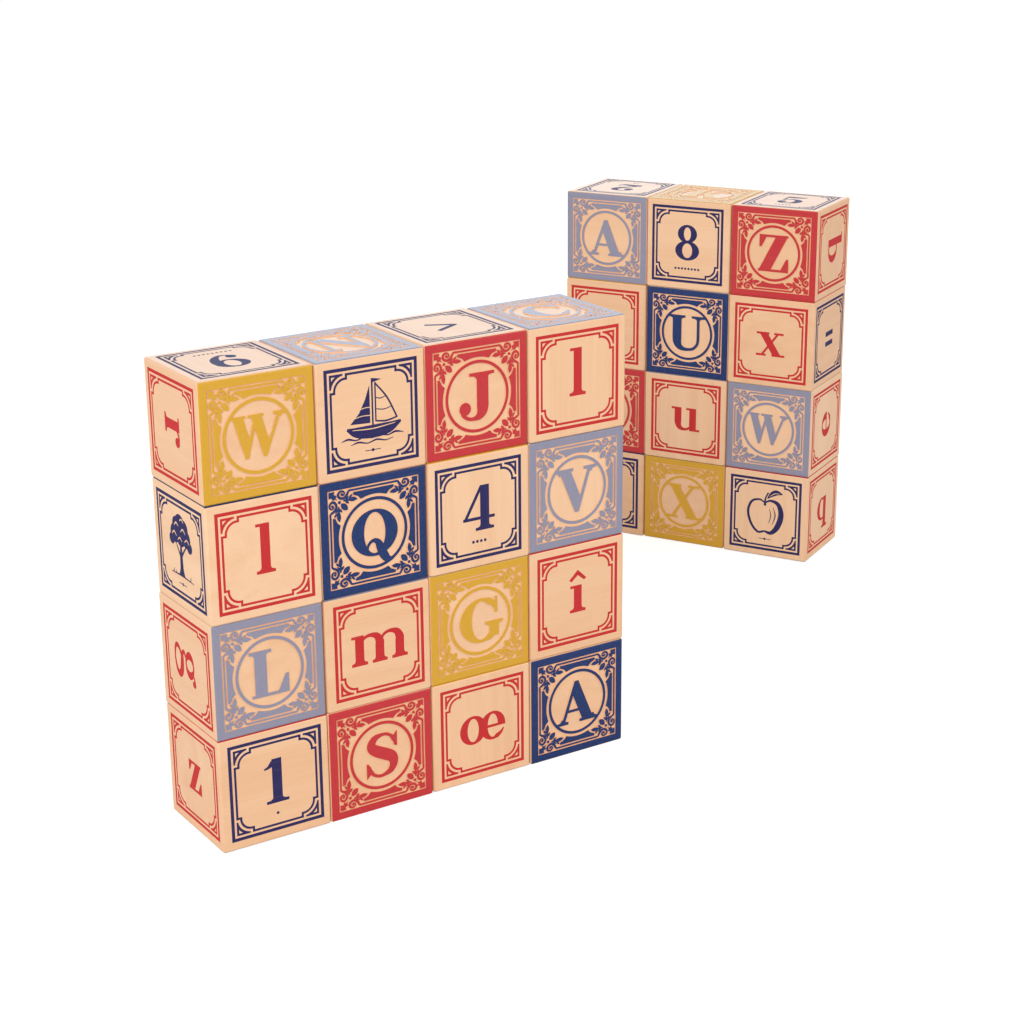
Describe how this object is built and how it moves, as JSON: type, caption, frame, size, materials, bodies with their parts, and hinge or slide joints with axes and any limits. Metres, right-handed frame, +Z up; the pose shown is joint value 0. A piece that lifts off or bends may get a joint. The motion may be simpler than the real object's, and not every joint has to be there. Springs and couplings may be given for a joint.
{
  "type": "set of wooden alphabet blocks",
  "caption": "Loose wooden alphabet blocks stacked by hand as two walls, with raised capitals on carved sides and printed small letters, numerals and signs on the rest.",
  "frame": {"origin": "on the table, under the middle of the stack's bounding box", "axes": "+Z up, +X along the front wall from its first column to its last, -Y out of the front wall's face"},
  "size_m": [0.4194, 0.259, 0.1778],
  "materials": {
    "basswood": "sanded, with coloured ink on the letters and borders"
  },
  "bodies": {
    "front_block_c1_r1": {"front_block_c1_r1": "basswood"},
    "front_block_c2_r1": {"front_block_c2_r1": "basswood"},
    "front_block_c3_r1": {"front_block_c3_r1": "basswood"},
    "front_block_c4_r1": {"front_block_c4_r1": "basswood"},
    "front_block_c1_r2": {"front_block_c1_r2": "basswood"},
    "front_block_c2_r2": {"front_block_c2_r2": "basswood"},
    "front_block_c3_r2": {"front_block_c3_r2": "basswood"},
    "front_block_c4_r2": {"front_block_c4_r2": "basswood"},
    "front_block_c1_r3": {"front_block_c1_r3": "basswood"},
    "front_block_c2_r3": {"front_block_c2_r3": "basswood"},
    "front_block_c3_r3": {"front_block_c3_r3": "basswood"},
    "front_block_c4_r3": {"front_block_c4_r3": "basswood"},
    "front_block_c1_r4": {"front_block_c1_r4": "basswood"},
    "front_block_c2_r4": {"front_block_c2_r4": "basswood"},
    "front_block_c3_r4": {"front_block_c3_r4": "basswood"},
    "front_block_c4_r4": {"front_block_c4_r4": "basswood"},
    "rear_block_c1_r1": {"rear_block_c1_r1": "basswood"},
    "rear_block_c2_r1": {"rear_block_c2_r1": "basswood"},
    "rear_block_c3_r1": {"rear_block_c3_r1": "basswood"},
    "rear_block_c1_r2": {"rear_block_c1_r2": "basswood"},
    "rear_block_c2_r2": {"rear_block_c2_r2": "basswood"},
    "rear_block_c3_r2": {"rear_block_c3_r2": "basswood"},
    "rear_block_c1_r3": {"rear_block_c1_r3": "basswood"},
    "rear_block_c2_r3": {"rear_block_c2_r3": "basswood"},
    "rear_block_c3_r3": {"rear_block_c3_r3": "basswood"},
    "rear_block_c1_r4": {"rear_block_c1_r4": "basswood"},
    "rear_block_c2_r4": {"rear_block_c2_r4": "basswood"},
    "rear_block_c3_r4": {"rear_block_c3_r4": "basswood"}
  },
  "joints": [
    {"name": "front_c1_slide_out", "type": "slide", "parent": "front_block_c2_r1", "child": "front_block_c1_r1", "axis": [0, -1, 0], "range_m": [0, 0.05]},
    {"name": "front_c3_slide_out", "type": "slide", "parent": "front_block_c2_r1", "child": "front_block_c3_r1", "axis": [0, -1, 0], "range_m": [0, 0.05]},
    {"name": "front_c4_slide_out", "type": "slide", "parent": "front_block_c2_r1", "child": "front_block_c4_r1", "axis": [0, -1, 0], "range_m": [0, 0.05]},
    {"name": "rear_c1_slide_out", "type": "slide", "parent": "front_block_c2_r1", "child": "rear_block_c1_r1", "axis": [-0.8788, -0.4772, 0], "range_m": [0, 0.05]},
    {"name": "rear_c2_slide_out", "type": "slide", "parent": "front_block_c2_r1", "child": "rear_block_c2_r1", "axis": [-0.8788, -0.4772, 0], "range_m": [0, 0.05]},
    {"name": "rear_c3_slide_out", "type": "slide", "parent": "front_block_c2_r1", "child": "rear_block_c3_r1", "axis": [-0.8788, -0.4772, 0], "range_m": [0, 0.05]},
    {"name": "front_c1_r2_lift_off", "type": "slide", "parent": "front_block_c1_r1", "child": "front_block_c1_r2", "axis": [0, 0, 1], "range_m": [0, 0.05]},
    {"name": "front_c2_r2_lift_off", "type": "slide", "parent": "front_block_c2_r1", "child": "front_block_c2_r2", "axis": [0, 0, 1], "range_m": [0, 0.05]},
    {"name": "front_c3_r2_lift_off", "type": "slide", "parent": "front_block_c3_r1", "child": "front_block_c3_r2", "axis": [0, 0, 1], "range_m": [0, 0.05]},
    {"name": "front_c4_r2_lift_off", "type": "slide", "parent": "front_block_c4_r1", "child": "front_block_c4_r2", "axis": [0, 0, 1], "range_m": [0, 0.05]},
    {"name": "front_c1_r3_lift_off", "type": "slide", "parent": "front_block_c1_r2", "child": "front_block_c1_r3", "axis": [0, 0, 1], "range_m": [0, 0.05]},
    {"name": "front_c2_r3_lift_off", "type": "slide", "parent": "front_block_c2_r2", "child": "front_block_c2_r3", "axis": [0, 0, 1], "range_m": [0, 0.05]},
    {"name": "front_c3_r3_lift_off", "type": "slide", "parent": "front_block_c3_r2", "child": "front_block_c3_r3", "axis": [0, 0, 1], "range_m": [0, 0.05]},
    {"name": "front_c4_r3_lift_off", "type": "slide", "parent": "front_block_c4_r2", "child": "front_block_c4_r3", "axis": [0, 0, 1], "range_m": [0, 0.05]},
    {"name": "front_c1_r4_lift_off", "type": "slide", "parent": "front_block_c1_r3", "child": "front_block_c1_r4", "axis": [0, 0, 1], "range_m": [0, 0.05]},
    {"name": "front_c2_r4_lift_off", "type": "slide", "parent": "front_block_c2_r3", "child": "front_block_c2_r4", "axis": [0, 0, 1], "range_m": [0, 0.05]},
    {"name": "front_c3_r4_lift_off", "type": "slide", "parent": "front_block_c3_r3", "child": "front_block_c3_r4", "axis": [0, 0, 1], "range_m": [0, 0.05]},
    {"name": "front_c4_r4_lift_off", "type": "slide", "parent": "front_block_c4_r3", "child": "front_block_c4_r4", "axis": [0, 0, 1], "range_m": [0, 0.05]},
    {"name": "rear_c1_r2_lift_off", "type": "slide", "parent": "rear_block_c1_r1", "child": "rear_block_c1_r2", "axis": [0, 0, 1], "range_m": [0, 0.05]},
    {"name": "rear_c2_r2_lift_off", "type": "slide", "parent": "rear_block_c2_r1", "child": "rear_block_c2_r2", "axis": [0, 0, 1], "range_m": [0, 0.05]},
    {"name": "rear_c3_r2_lift_off", "type": "slide", "parent": "rear_block_c3_r1", "child": "rear_block_c3_r2", "axis": [0, 0, 1], "range_m": [0, 0.05]},
    {"name": "rear_c1_r3_lift_off", "type": "slide", "parent": "rear_block_c1_r2", "child": "rear_block_c1_r3", "axis": [0, 0, 1], "range_m": [0, 0.05]},
    {"name": "rear_c2_r3_lift_off", "type": "slide", "parent": "rear_block_c2_r2", "child": "rear_block_c2_r3", "axis": [0, 0, 1], "range_m": [0, 0.05]},
    {"name": "rear_c3_r3_lift_off", "type": "slide", "parent": "rear_block_c3_r2", "child": "rear_block_c3_r3", "axis": [0, 0, 1], "range_m": [0, 0.05]},
    {"name": "rear_c1_r4_lift_off", "type": "slide", "parent": "rear_block_c1_r3", "child": "rear_block_c1_r4", "axis": [0, 0, 1], "range_m": [0, 0.05]},
    {"name": "rear_c2_r4_lift_off", "type": "slide", "parent": "rear_block_c2_r3", "child": "rear_block_c2_r4", "axis": [0, 0, 1], "range_m": [0, 0.05]},
    {"name": "rear_c3_r4_lift_off", "type": "slide", "parent": "rear_block_c3_r3", "child": "rear_block_c3_r4", "axis": [0, 0, 1], "range_m": [0, 0.05]}
  ]
}
